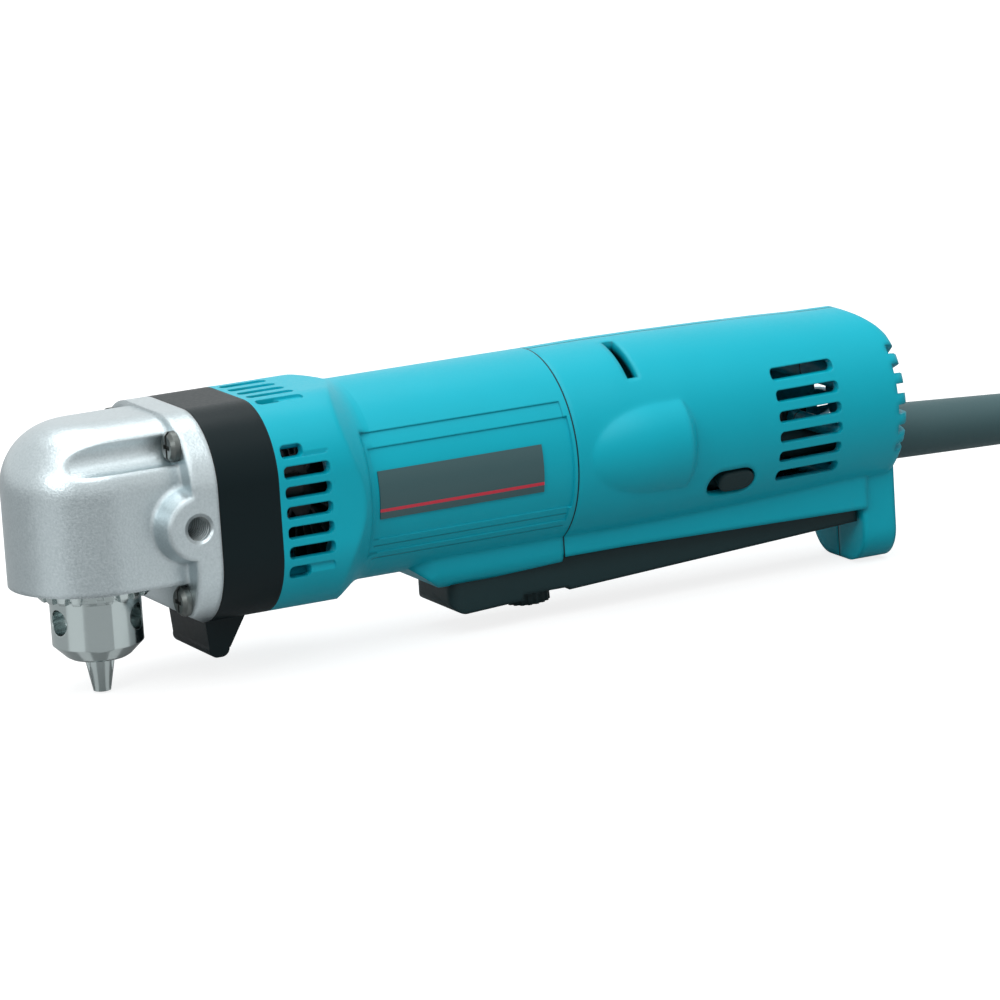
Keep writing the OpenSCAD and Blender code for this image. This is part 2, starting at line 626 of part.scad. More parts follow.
module motor_housing() color(teal) at_axis() {
    difference() {
        motor_solid();
        rod_x(bore_r, motor_front - 1, seam_x + 1);
        difference() {
            along_x(motor_front - 1, neck_start) translate([0, -front_drop])
                rounded_rect(front_width - 2 * vent_wall, front_height - 2 * vent_wall, front_corner - vent_wall);
            at_head_screws() rod_x(post_r, motor_front - 2, tube_x);
        }
        at_head_screws() rod_x(screw_r, motor_front - 1, motor_front + screw_reach);
        front_vents();
        difference() {
            lever_channel(channel_x, seam_x + 1);
            rod_x(channel_roof_r, channel_x - 1, seam_x + 2);
        }
        both_sides() {
            side_sector(panel_outer) translate([panel_x0, tube_r - panel_step]) square([panel_x1 - panel_x0, 9]);
            side_sector(panel_inner) translate([panel_x0 + 1.5, tube_r - 2 * panel_step])
                square([panel_x1 - panel_x0 - 0.5, 9]);
        }
    }
    ring_x(bore_r, spigot_r, spigot_x0, spigot_x1);
}
module side_label() color([0.25, 0.28, 0.30]) at_axis() side_sector(label_half)
    translate([label_x, tube_r - 2 * panel_step]) square([label_length, label_thick]);

// Handle: turned barrel with brush bulges, lever skirt and rear foot, split down the middle
skirt_low = -28.8;
skirt_end_low = -30.2;
foot_x = handle_end - 10.5;
foot_corner = 10;
foot_up = -15;
bulge_y = 16.3;
bulge_r = 15.3;
bulge_full = brush_x;
bulge_tip = bulge_full - 33;
bulge_start = seam_x + 0.5;
bulge_end = bulge_full + 11.5;
bulge_steps = 10;
slit_x = 155.2;
slit_width = 3.4;
slit_start = 44;
slit_angle = 34.5;
rear_vent_inset = 43;
rear_vent_x = handle_end - rear_vent_inset;
cap_round = 14;
cap_top = tube_r - 0.8;
rear_vent_h = 3.3;
notch_angle = 13.2;
first_notch = 38;
notch_h = 2.8;
notch_x = handle_end - 3.6;
notch_r = 17;
reverser_x = 184.1;
reverser_angle = 30.5;
reverser_slot = [15.6, 9.4];
reverser_size = [11, 6.4];
reverser_rest = reverser_slot[0] / 2 - reverser_size[0] / 2 - 0.4;
front_post_x = coil_rear + 6;
handle_posts = [[front_post_x, 18.5], [front_post_x, -18.5], [192, 17], [226, 10]];
handle_post_r = 4.6;
handle_screw_r = 1.9;
handle_screw_head_r = 3.5;
handle_screw_low = -12;
handle_screw_seat = 13;
pivot_x = 229;
pivot_z = -27.6;
pivot_r = 2;
barrel_r = 2.9;
guard_tilt = 2.8;
guard_z = -12.5;
guard_flange_r = 9.6;
guard_flange = 3;
guard_inner = -6;
guard_end_taper = 10;
lead_end = 206;
// Handle outline as (distance before the end, radius below the tube's)
handle_steps = [[-91, 0.15], [-72, -0.05], [-52, -0.5], [-33, -1.1], [-21, -1.65], [-3, -2], [-1.5, -2.4],
    [-0.4, -3.5], [0, -5]];
// The barrel, its top rounded off towards the rear in side view
function handle_outline(wall) = concat([[seam_x, 0], [seam_x, tube_r - wall]],
    [for (p = handle_steps) [handle_end + p[0] - (p[0] > -4 ? wall : 0), tube_r + p[1] - wall]], [[handle_end - wall, 0]]);
function bulge_radius(x) = bulge_r * sqrt(1 - pow((bulge_full - x) / (bulge_full - bulge_tip), 2));
function bulge_outline(wall) = concat([[bulge_start + wall, 0]], [for (i = [0 : bulge_steps])
    let (x = bulge_start + wall + (bulge_full - bulge_start - wall) * i / bulge_steps) [x, bulge_radius(x - wall) - wall]],
    [[bulge_end - 2.5 - wall, bulge_r - wall], [bulge_end - wall, bulge_r - 2.5 - wall], [bulge_end - wall, 0]]);
module stadium(size) {
    square([size[0] - size[1], size[1]], center = true);
    for (s = [-1, 1]) translate([s * (size[0] - size[1]) / 2, 0]) circle(size[1] / 2);
}
module at_guard() translate([handle_end, 0, guard_z]) rotate([0, 90 + guard_tilt, 0]) children();
module guard_solid() at_guard() {
    mid_r = guard_root_r - 0.8;
    translate([0, 0, guard_inner]) cylinder(r = guard_root_r, h = -guard_inner);
    translate([0, 0, guard_inner]) cylinder(r = guard_flange_r, h = guard_flange);
    cylinder(r1 = guard_root_r, r2 = mid_r, h = guard_length - guard_end_taper);
    translate([0, 0, guard_length - guard_end_taper]) cylinder(r1 = mid_r, r2 = guard_tip_r, h = guard_end_taper);
}
module at_posts() for (p = handle_posts) translate([p[0], 0, p[1]]) children();
module barrel(wall) intersection() {
    turned_x() polygon(handle_outline(wall));
    along_y(-far, far) {
        translate([0, -far]) square([handle_end - cap_round, 2 * far]);
        translate([0, -far]) square([handle_end - wall, far + cap_top - cap_round]);
        translate([handle_end - cap_round, cap_top - cap_round]) circle(cap_round - wall);
    }
}
module handle_walls() difference() {
    union() {
        barrel(0);
        both_sides() translate([0, bulge_y, 0]) turned_x() polygon(bulge_outline(0));
        along_y(-skirt_half, skirt_half) polygon([[seam_x, -20], [seam_x, skirt_low], [seam_x + 18.5, skirt_low],
            [foot_x - 4, skirt_end_low], [foot_x + 1, skirt_end_low], [foot_x + 1, -20]]);
        along_x(foot_x, foot_x + foot_thick) {
            translate([-foot_half, -axis_height + foot_corner]) square([2 * foot_half, axis_height - foot_corner + foot_up]);
            translate([-foot_half + foot_corner, -axis_height]) square([2 * (foot_half - foot_corner), foot_corner * 2]);
            for (s = [-1, 1]) translate([s * (foot_half - foot_corner), -axis_height + foot_corner]) circle(foot_corner);
        }
    }
    barrel(shell_wall);
    both_sides() {
        translate([0, bulge_y, 0]) turned_x() polygon(bulge_outline(shell_wall));
        rotate([slit_start + slit_angle - 90, 0, 0]) mirror([0, 0, 1]) turned_x(slit_angle)
            translate([slit_x, bore_r - 2]) square([slit_width, 9]);
        for (i = [-2.5 : 2.5]) translate([rear_vent_x, 0, i * rear_vent_pitch])
            along_y(14, far) slot(rear_vent_length, rear_vent_h, vent_corner);
        for (i = [0 : 5]) rotate([first_notch - i * notch_angle, 0, 0])
            translate([notch_x, notch_r, -notch_h / 2]) cube([far, far, notch_h]);
    }
    rotate([reverser_angle, 0, 0]) translate([reverser_x, 0, 0]) along_y(-far, -20) stadium(reverser_slot);
}
module handle_inside() {
    intersection() {
        barrel(shell_wall / 2);
        union() {
            at_posts() rod_y(handle_post_r, -far, far);
            difference() {
                rod_x(tube_r, rear_bearing_x - 1, shaft_end);
                rod_x(rear_bearing_r, rear_bearing_x, shaft_end + 1);
                rod_x(shaft_r + 1.5, rear_bearing_x - 2, shaft_end);
                for (a = [45 : 90 : 315]) rotate([a, 0, 0]) rod_x(4.5, rear_bearing_x - 2, shaft_end + 1, 17);
            }
        }
    }
}
module handle_shell() at_axis() difference() {
    union() {
        handle_walls();
        handle_inside();
    }
    lever_channel(seam_x - 1, foot_x);
    rod_y(barrel_r + gap, -channel_half, channel_half, pivot_x, pivot_z);
    rod_y(pivot_r, -pin_half, pin_half, pivot_x, pivot_z);
    at_posts() {
        rod_y(handle_screw_r, handle_screw_low, handle_screw_seat);
        rod_y(handle_screw_head_r, handle_screw_seat, far);
    }
    guard_solid();
}
module handle_left() color(teal) {
    intersection() {
        handle_shell();
        translate([0, -far, -far]) cube([2 * far, far, 2 * far]);
    }
    at_axis() difference() {
        intersection() {
            barrel(shell_wall / 2);
            clamp_bosses();
        }
        at_clamp_screws() rod_y(clamp_screw_r, -clamp_screw_reach, clamp_y + 1);
    }
}
module handle_right() color(teal) intersection() {
    handle_shell();
    translate([0, 0, -far]) cube([2 * far, far, 2 * far]);
}
module handle_screws() color(steel) at_axis() at_posts() {
    rod_y(handle_screw_r, handle_screw_low, handle_screw_seat);
    difference() {
        rod_y(handle_screw_head_r, handle_screw_seat, handle_screw_seat + 2.4);
        translate([-0.5, handle_screw_seat + 1.2, -handle_screw_head_r]) cube([1, 4, 2 * handle_screw_head_r]);
        translate([-handle_screw_head_r, handle_screw_seat + 1.2, -0.5]) cube([2 * handle_screw_head_r, 4, 1]);
    }
}

// Cord entry: moulded guard, clamp bar with two screws, and the lead up to the switch
clamp_x = 221;
clamp_z = guard_z + (handle_end - clamp_x) * tan(guard_tilt);
clamp_y = cord_r;
clamp_h = 3;
clamp_pitch = 6.6;
clamp_boss_r = 2.4;
clamp_screw_r = 1.4;
clamp_screw_reach = 10;
module at_clamp_screws() for (s = [-1, 1]) translate([clamp_x, 0, clamp_z + s * clamp_pitch]) children();
module clamp_bosses() at_clamp_screws() rod_y(clamp_boss_r, -far, clamp_y);
module cord_guard() color(dark_rubber) at_axis() guard_solid();
module inner_lead() color(dark_rubber) at_axis() difference() {
    at_guard() translate([0, 0, -far]) cylinder(r = cord_r, h = far + guard_inner);
    translate([lead_end - 2 * far, -far, -far]) cube([2 * far, 2 * far, 2 * far]);
}
module cord_clamp() color(black_plastic) at_axis() difference() {
    translate([clamp_x - 4, clamp_y, clamp_z - clamp_pitch - 2.9]) cube([8, clamp_h, 2 * clamp_pitch + 5.8]);
    at_clamp_screws() rod_y(clamp_screw_r, clamp_y - 1, clamp_y + clamp_h + 1);
}
module cord_clamp_screws() color(steel) at_axis() at_clamp_screws() {
    rod_y(clamp_screw_r, -clamp_screw_reach, clamp_y + clamp_h);
    rod_y(clamp_boss_r + 0.2, clamp_y + clamp_h, clamp_y + clamp_h + 1.8);
}

// Paddle lever, speed wheel, switch and reversing button
pin_half = 15;
lever_x = 101;
lever_nose = 4;
lever_step = 1.4;
lever_end = pivot_x + 1.6;
lever_top = -29.3;
lever_front_low = -41;
lever_back_low = -34.3;
lever_flat_x = 104;
lever_slope = (lever_back_low - lever_front_low) / (lever_end - lever_flat_x);
lever_tilt = atan(lever_slope);
function lever_low(x) = lever_front_low + (x - lever_flat_x) * lever_slope;
wheel_x = 130;
wheel_low = -43.3;
wheel_h = 4.4;
wheel_notch = 1.2;
wheel_grips = 18;
wheel_stem_r = 2.2;
wheel_stem_h = 3.4;
wheel_boss_r = 4.4;
plunger_x = 189;
plunger_r = 3;
switch_x = 184;
switch_half = 8;
switch_low = -24;
switch_top = -6;
plunger_low = lever_low(plunger_x + plunger_r) + lever_wall + gap;
plunger_top = switch_low + 5;
module at_wheel() translate([wheel_x, 0, wheel_low]) rotate([0, -lever_tilt, 0]) children();
module lever_profile() {
    polygon([[lever_x, lever_top - lever_step], [lever_x, lever_low(lever_x + lever_nose) + lever_nose],
        [lever_x + lever_nose, lever_low(lever_x + lever_nose)],
        [lever_end, lever_back_low], [lever_end, pivot_z], [pivot_x - 3, pivot_z - 1], [pivot_x - 5, lever_top],
        [lever_x + lever_nose + 2, lever_top], [lever_x + lever_nose + 0.5, lever_top - lever_step]]);
    translate([lever_x + lever_nose, lever_low(lever_x + lever_nose) + lever_nose]) circle(lever_nose);
}
module paddle_lever() color(black_plastic) at_axis() difference() {
    union() {
        difference() {
            intersection() {
                along_y(-lever_half, lever_half) lever_profile();
                translate([lever_x + far / 2, 0, -far]) linear_extrude(far)
                    rounded_rect(far, 2 * lever_half, lever_nose);
            }
            along_y(-lever_half + lever_wall, lever_half - lever_wall) polygon([[lever_x + lever_wall + 1, 0],
                [lever_x + lever_wall + 1, lever_low(lever_flat_x) + 2 * lever_wall],
                [lever_flat_x + 2 * lever_wall, lever_low(lever_flat_x + 2 * lever_wall) + lever_wall],
                [pivot_x - 4, lever_low(pivot_x - 4) + lever_wall], [pivot_x - 4, 0]]);
            translate([wheel_x - wheel_r - 0.8, -far / 2, -far])
                cube([2 * wheel_r + 1.6, far, far + lever_low(wheel_x) + wheel_notch]);
        }
        rod_y(barrel_r, -lever_half, lever_half, pivot_x, pivot_z);
        at_wheel() rod_z(wheel_boss_r, wheel_h + 1, wheel_h + wheel_stem_h);
    }
    rod_y(pivot_r + run, -far, far, pivot_x, pivot_z);
    at_wheel() rod_z(wheel_stem_r + run, -1, wheel_h + wheel_stem_h + 1);
}
module lever_pivot_pin() color(steel) at_axis() rod_y(pivot_r, -pin_half, pin_half, pivot_x, pivot_z);
module speed_wheel() color(black_plastic) at_axis() at_wheel() {
    difference() {
        cylinder(r = wheel_r, h = wheel_h);
        for (i = [0 : wheel_grips - 1]) rotate(360 / wheel_grips * i) rod_z(0.7, -1, wheel_h + 1, wheel_r + 0.2);
    }
    rod_z(wheel_stem_r, wheel_h, wheel_h + wheel_stem_h);
}
module switch_body() color(black_plastic) at_axis() difference() {
    translate([switch_x, -switch_half, switch_low]) cube([lead_end - switch_x, 2 * switch_half, switch_top - switch_low]);
    rod_z(plunger_r + run, switch_low - 1, plunger_top + 3, plunger_x);
}
module switch_plunger() color(dark_rubber) at_axis() rod_z(plunger_r, plunger_low, plunger_top, plunger_x);
module reversing_button() color(black_plastic) at_axis() rotate([reverser_angle, 0, 0])
    translate([reverser_x + reverser_rest, 0, 0]) {
        along_y(-tube_r + 0.6, -tube_r + 5) stadium(reverser_size);
        along_y(-tube_r + 5, -tube_r + 7) stadium([15.4, 11]);
    }

// Mains lead: free stretch to the floor, a tied hank of long loops, and a plug lying on it
hank_pitch = 8.6;
tie_thick = 1.2;
hank_low = tie_thick + gap + cord_r;
hank_x = 411;
hank_run = 121;
hank_half = 26.6;
hank_layers = 4;
last_run = 3 * hank_layers;
run_rings = 4;
bend_rings = 10;
tail_length = 30;
plug_height = 18;
plug_z = hank_low + (hank_layers - 1) * hank_pitch + cord_r + gap + plug_height / 2;
guard_tip = [handle_end + guard_length * cos(guard_tilt), 0, axis_height + guard_z - guard_length * sin(guard_tilt)];
guard_way = [cos(guard_tilt), 0, -sin(guard_tilt)];
hank_start = [hank_x - 2 * cord_r, -hank_half, hank_low];
lead_drop = [[318, 0, 29.4], [330, -0.8, 26.2], [341, -3, 21.4], [351, -7, 16], [361, -12.5, 11], [371, -18.5, 7.6],
    [381, -23, 5.9], [392, -25.9, hank_low]];
lead_path = concat([guard_tip, guard_tip + 2 * cord_r * guard_way], lead_drop, [hank_start]);
function ease(t) = t * t * (3 - 2 * t);
// Straight runs of the hank go out and back in lanes that step in, then out; every third run climbs a layer
function lane(i) = i == last_run ? -hank_pitch / 4
    : (i % 2 == 0 ? -1 : 1) * (hank_half - hank_pitch / 2 * min(i % 6, 6 - i % 6));
function run_end_z(i) = hank_low + hank_pitch * floor((i == last_run - 1 ? last_run : i) / 3);
function run_start_z(i) = i == 0 ? hank_low : run_end_z(i - 1);
function run_point(i, t) = [hank_x + hank_run * (i % 2 == 0 ? t : 1 - t), lane(i),
    run_start_z(i) + (run_end_z(i) - run_start_z(i)) * ease(t)];
function bend_point(i, t) = let (out = i % 2 == 0 ? 1 : -1, mid = (lane(i) + lane(i + 1)) / 2, r = abs(lane(i) - mid))
    [hank_x + (out > 0 ? hank_run : 0) + out * r * sin(180 * t), mid + (lane(i) - mid) * cos(180 * t), run_end_z(i)];
tail = [for (t = [0 : run_rings]) let (s = t / run_rings)
    [hank_x + tail_length * s, lane(last_run), run_end_z(last_run) + (plug_z - run_end_z(last_run)) * ease(s)]];
hank_path = concat([hank_start], [for (i = [0 : last_run - 1]) each concat(
    [for (k = [0 : run_rings]) run_point(i, k / run_rings)],
    [for (k = [1 : bend_rings - 1]) bend_point(i, k / bend_rings)])], tail);
least_gap = min([for (i = [1 : len(hank_path) - 1]) for (j = [i + bend_rings : len(hank_path) - 1])
    norm(hank_path[i] - hank_path[j])]) - 2 * cord_r;
echo(least_coil_gap = least_gap);
function path_length(path) = [for (i = [1 : len(path) - 1]) norm(path[i] - path[i - 1])]
    * [for (i = [1 : len(path) - 1]) 1];
echo(cord_length = path_length(lead_path) + path_length(hank_path));
function unit(v) = v / norm(v);
function way_at(path, i) = i == 0 ? unit(path[1] - path[0]) : i == len(path) - 1 ? unit(path[i] - path[i - 1])
    : unit(unit(path[i + 1] - path[i]) + unit(path[i] - path[i - 1]));
// Tube of flat sided rings square to the path
module tube(path, r, sides) {
    last = len(path) - 1;
    points = [for (i = [0 : last]) let (t = way_at(path, i), s = unit(cross([0, 0, 1], t)), u = cross(t, s))
        for (k = [0 : sides - 1]) path[i] + r * (cos(360 / sides * k) * s + sin(360 / sides * k) * u)];
    walls = [for (i = [0 : last - 1], k = [0 : sides - 1]) let (a = i * sides, b = a + sides, j = (k + 1) % sides)
        each [[a + k, b + j, a + j], [a + k, b + k, b + j]]];
    ends = [[for (k = [0 : sides - 1]) k], [for (k = [sides - 1 : -1 : 0]) last * sides + k]];
    polyhedron(points = points, faces = concat(walls, ends), convexity = 10);
}
module power_cord() color(dark_rubber) tube(lead_path, cord_r, 10);
module cord_coil() color(dark_rubber) tube(hank_path, cord_r, 6);
tie_x = hank_x + hank_run - 14;
tie_width = 8;
tie_near = hank_half + cord_r + gap;
tie_far = tie_near - hank_pitch / 2;
module tie_outline(grow) translate([-tie_near - grow, hank_low - cord_r - gap - grow])
    square([tie_near + tie_far + 2 * grow, (hank_layers - 1) * hank_pitch + 2 * (cord_r + gap + grow)]);
module cord_tie() color(black_plastic) along_x(tie_x, tie_x + tie_width) difference() {
    tie_outline(tie_thick);
    tie_outline(0);
}
plug_neck = 12;
plug_length = 32;
plug_width = 27;
plug_corner = 8;
module at_plug() translate([hank_x + tail_length, lane(last_run), plug_z]) children();
module plug_body() color(black_plastic) at_plug() {
    cone_x(cord_r + 1.4, 8, 0, plug_neck);
    along_x(plug_neck, plug_neck + plug_length) rounded_rect(plug_width, plug_height, plug_corner);
}
pin_spread = 6.35;
pin_length = 17;
pin_thick = 1.5;
pin_width = 6.3;
module plug_pins() color(steel) at_plug() for (s = [-1, 1])
    translate([plug_neck + plug_length, s * pin_spread - pin_thick / 2, -pin_width / 2])
        cube([pin_length, pin_thick, pin_width]);

gear_housing();
gear_housing_screws();
finger_guard_collar();
gear_plate();
motor_housing();
side_label();
handle_left();
handle_right();
handle_screws();
armature_shaft();
armature_core();
armature_windings();
commutator();
cooling_fan();
front_motor_bearing();
rear_motor_bearing();
field_core();
field_coils();
baffle_plate();
brush_holders();
carbon_brushes();
spur_gear();
bevel_pinion();
pinion_bearings();
bevel_gear();
spindle();
upper_spindle_bearing();
lower_spindle_bearing();
bearing_retainer();
chuck_body();
chuck_sleeve();
chuck_nut();
chuck_jaw_1();
chuck_jaw_2();
chuck_jaw_3();
paddle_lever();
lever_pivot_pin();
speed_wheel();
switch_body();
switch_plunger();
reversing_button();
cord_guard();
inner_lead();
cord_clamp();
cord_clamp_screws();
power_cord();
cord_coil();
cord_tie();
plug_body();
plug_pins();
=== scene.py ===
import math

import bpy
from mathutils import Matrix, Vector


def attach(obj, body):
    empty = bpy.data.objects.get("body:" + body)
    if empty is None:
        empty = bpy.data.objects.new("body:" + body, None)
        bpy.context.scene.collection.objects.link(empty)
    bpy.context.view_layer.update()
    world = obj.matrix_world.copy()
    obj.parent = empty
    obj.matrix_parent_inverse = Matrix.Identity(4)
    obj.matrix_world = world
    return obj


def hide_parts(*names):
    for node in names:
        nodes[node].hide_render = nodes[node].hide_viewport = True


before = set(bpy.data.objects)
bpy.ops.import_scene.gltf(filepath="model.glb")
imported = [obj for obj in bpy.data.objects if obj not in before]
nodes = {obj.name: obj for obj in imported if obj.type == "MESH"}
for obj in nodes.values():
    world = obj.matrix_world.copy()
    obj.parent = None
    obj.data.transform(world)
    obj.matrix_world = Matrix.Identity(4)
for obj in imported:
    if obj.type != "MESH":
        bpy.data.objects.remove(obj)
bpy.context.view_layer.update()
scene = bpy.context.scene

# Camera: a long lens to the left of the drill and a little above it, leaning slightly.
# The numbers were fitted to the photograph's seam, vents and upright edges.
turn, rise, lean = math.radians(26.09), math.radians(12.505), math.radians(3.635)
back = Vector((-math.sin(turn) * math.cos(rise), -math.cos(turn) * math.cos(rise), math.sin(rise)))
level = Vector((math.cos(turn), -math.sin(turn), 0))
upright = back.cross(level)
right = level * math.cos(lean) - upright * math.sin(lean)
up = level * math.sin(lean) + upright * math.cos(lean)
camera = bpy.data.objects.new("camera", bpy.data.cameras.new("camera"))
camera.data.sensor_width = 36
camera.data.lens = 198
camera.data.clip_end = 20
camera.matrix_world = Matrix((right, up, back)).transposed().to_4x4()
camera.location = (-0.5365, -1.3477, 0.3663)
scene.collection.objects.link(camera)
scene.camera = camera

# Mains lead: leaves the guard's tip, sinks to the floor and is folded into a tied hank of four layers,
# with the plug lying on top. The route's numbers are those of the part's source, in metres.
CORD_R = 0.004
PITCH = 0.0086
HANK_X, HANK_LOW, HANK_RUN, HANK_HALF = 0.411, 0.0055, 0.121, 0.0266
LAYERS = 4
RUNS_A_LAYER = 3
LAST_RUN = RUNS_A_LAYER * LAYERS
TAIL, PLUG_Z = 0.030, HANK_LOW + 3 * PITCH + 0.0133
GUARD_ROOT, GUARD_LENGTH, GUARD_TILT = Vector((0.242, 0, 0.0345)), 0.056, math.radians(2.8)
RUN_STEPS, BEND_STEPS, DROP_STEPS = 6, 18, 3
guard_way = Vector((math.cos(GUARD_TILT), 0, -math.sin(GUARD_TILT)))
guard_tip = GUARD_ROOT + GUARD_LENGTH * guard_way
drop = [
    (0.318, 0, 0.0294), (0.330, -0.0008, 0.0262), (0.341, -0.003, 0.0214), (0.351, -0.007, 0.016),
    (0.361, -0.0125, 0.011), (0.371, -0.0185, 0.0076), (0.381, -0.023, 0.0059), (0.392, -0.0259, HANK_LOW),
]
lead = [guard_tip, guard_tip + 2 * CORD_R * guard_way] + [Vector(p) for p in drop]
lead.append(Vector((HANK_X - 2 * CORD_R, -HANK_HALF, HANK_LOW)))


def smooth(points, steps):
    """Catmull-Rom curve through the points."""
    out = []
    for i in range(len(points) - 1):
        a, b = points[i], points[i + 1]
        before = points[i - 1] if i else a * 2 - b
        after = points[i + 2] if i + 2 < len(points) else b * 2 - a
        for s in range(steps):
            t = s / steps
            out.append(0.5 * (2 * a + (b - before) * t + (2 * before - 5 * a + 4 * b - after) * t * t
                + (3 * a - before - 3 * b + after) * t ** 3))
    return out + [points[-1]]


def ease(t):
    """Level at both ends of a rise from 0 to 1."""
    return t * t * (3 - 2 * t)


def lane(i):
    """Sideways place of a run of the hank."""
    if i == LAST_RUN:
        return -PITCH / 4
    return (1 if i % 2 else -1) * (HANK_HALF - PITCH / 2 * min(i % 6, 6 - i % 6))


def run_end_z(i):
    """Height at which a run of the hank ends."""
    return HANK_LOW + PITCH * ((LAST_RUN if i == LAST_RUN - 1 else i) // RUNS_A_LAYER)


def run_point(i, t):
    low = run_end_z(max(i - 1, 0))
    x = HANK_X + HANK_RUN * (1 - t if i % 2 else t)
    return Vector((x, lane(i), low + (run_end_z(i) - low) * ease(t)))


def bend_point(i, t):
    middle = (lane(i) + lane(i + 1)) / 2
    reach = abs(lane(i) - middle) * math.sin(math.pi * t)
    x = HANK_X - reach if i % 2 else HANK_X + HANK_RUN + reach
    return Vector((x, middle + (lane(i) - middle) * math.cos(math.pi * t), run_end_z(i)))


def tail_point(t):
    low = run_end_z(LAST_RUN)
    return Vector((HANK_X + TAIL * t, lane(LAST_RUN), low + (PLUG_Z - low) * ease(t)))


route = smooth(lead, DROP_STEPS)
for i in range(LAST_RUN):
    route += [run_point(i, k / RUN_STEPS) for k in range(RUN_STEPS + 1)]
    route += [bend_point(i, k / BEND_STEPS) for k in range(1, BEND_STEPS)]
route += [tail_point(k / RUN_STEPS) for k in range(RUN_STEPS + 1)]
curve = bpy.data.curves.new("cord", "CURVE")
curve.dimensions = "3D"
curve.bevel_depth = 1.0
curve.bevel_resolution = 3
curve.use_fill_caps = True
spline = curve.splines.new("POLY")
spline.points.add(len(route) - 1)
for point, place in zip(spline.points, route):
    point.co = (*place, 1)
    point.radius = CORD_R
spline.use_smooth = True
cord = bpy.data.objects.new("cord", curve)
scene.collection.objects.link(cord)
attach(cord, "housing")
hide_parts("power_cord", "cord_coil")
cord_length = sum((b - a).length for a, b in zip(route, route[1:]))

# Floor and lamps: a pale floor that keeps a soft shadow, a wide even light from above and in front,
# a panel overhead for the sheen along the top and one to the left for the gear head.
FLOOR_HALF = 30
FLOOR_Z = -0.0005
floor_mesh = bpy.data.meshes.new("floor")
floor_mesh.from_pydata([(a * FLOOR_HALF, b * FLOOR_HALF, 0) for a, b in ((-1, -1), (1, -1), (1, 1), (-1, 1))],
    [], [(0, 1, 2, 3)])
floor = bpy.data.objects.new("floor", floor_mesh)
floor.location.z = FLOOR_Z
scene.collection.objects.link(floor)
for name, kind, place, aim, size, power in [
    ("above", "SUN", (-0.4, -0.9, 2.0), (0, 0, 0), math.radians(60), 1.7),
    ("top", "AREA", (0.12, 0.35, 1.2), (0.12, 0, 0.05), 0.7, 6.5),
    ("left", "AREA", (-1.4, -0.7, 0.7), (0.0, 0, 0.06), 0.6, 5),
]:
    data = bpy.data.lights.new(name, kind)
    data.energy = power
    if kind == "SUN":
        data.angle = size
    else:
        data.shape = "DISK"
        data.size = size
    lamp = bpy.data.objects.new(name, data)
    lamp.location = place
    lamp.rotation_euler = (Vector(aim) - Vector(place)).to_track_quat("-Z", "Y").to_euler()
    scene.collection.objects.link(lamp)
scene.view_settings.view_transform = "Standard"


# Backdrop: white to the camera and in reflections, and a cooler, dimmer light all round for the rest.
# Shader maths is written with Sock, and any other node is made by Paint.
class Sock:
    """A shader socket that takes + - * / with another socket or a number."""

    def __init__(self, tree, out):
        self.tree, self.out = tree, out

    def math(self, kind, a, b):
        node = self.tree.nodes.new("ShaderNodeMath")
        node.operation = kind
        for slot, value in zip(node.inputs, (a, b)):
            if isinstance(value, Sock):
                self.tree.links.new(value.out, slot)
            else:
                slot.default_value = value
        return Sock(self.tree, node.outputs[0])

    def __add__(self, b):
        return self.math("ADD", self, b)

    def __sub__(self, b):
        return self.math("SUBTRACT", self, b)

    def __mul__(self, b):
        return self.math("MULTIPLY", self, b)

    def __truediv__(self, b):
        return self.math("DIVIDE", self, b)

    def __rsub__(self, b):
        return self.math("SUBTRACT", b, self)

    def above(self, b):
        return self.math("GREATER_THAN", self, b)

    def top(self, b):
        return self.math("MAXIMUM", self, b)

    def low(self, b):
        return self.math("MINIMUM", self, b)

    def power(self, b):
        return self.math("POWER", self, b)

    def size(self):
        return self.math("ABSOLUTE", self, 0)

    def bearing(self, b):
        """Angle of the point (b, this socket), in radians."""
        return self.math("ARCTAN2", self, b)

    def near(self, b, within):
        """1 where this socket lies within a distance of b, else 0."""
        return self.math("LESS_THAN", (self - b).size(), within)

    __radd__ = __add__
    __rmul__ = __mul__


class Paint:
    """A node tree: node() adds one node with its settings and sockets and gives an output."""

    def __init__(self, tree):
        self.tree = tree

    def node(self, kind, output=0, settings=(), **sockets):
        made = self.tree.nodes.new("ShaderNode" + kind)
        for key, value in dict(settings).items():
            setattr(made, key, value)
        for key, value in sockets.items():
            slot = made.inputs[int(key[1:])] if key[1:].isdigit() else made.inputs[key.replace("_", " ")]
            if isinstance(value, Sock):
                self.tree.links.new(value.out, slot)
            else:
                slot.default_value = value
        return Sock(self.tree, made.outputs[output])

    def seen(self, mirrored=1.0):
        """1 for what the camera sees, straight or through glass, and a share of it in a mirror."""
        ray = [self.node("LightPath", f"Is {kind} Ray") for kind in ("Camera", "Glossy", "Transmission")]
        return ray[0].top(mirrored * ray[1]).top(ray[2])

    def place(self):
        """The three object coordinates, in metres."""
        where = self.node("TexCoord", "Object")
        return [self.node("SeparateXYZ", axis, i0=where) for axis in "XYZ"]

    def grain(self, scale, detail=2.0):
        """Noise in object space, scale in cells per metre."""
        return self.node("TexNoise", Vector=self.node("TexCoord", "Object"), Scale=scale, Detail=detail)

    def round(self, edge, samples=4):
        """Normal with the edges rounded by a radius in metres."""
        return self.node("Bevel", settings={"samples": samples}, Radius=edge)

    def skin(self, normal, strength, scale):
        """A fine grain on top of a normal."""
        return self.node("Bump", Strength=strength, Distance=0.0002, Height=self.grain(scale), Normal=normal)

    def mix(self, share, a, b):
        """a at share 0 and b at share 1, each a colour or a socket."""
        return self.node("MixRGB", i0=share, i1=(*a, 1) if isinstance(a, tuple) else a,
            i2=(*b, 1) if isinstance(b, tuple) else b)


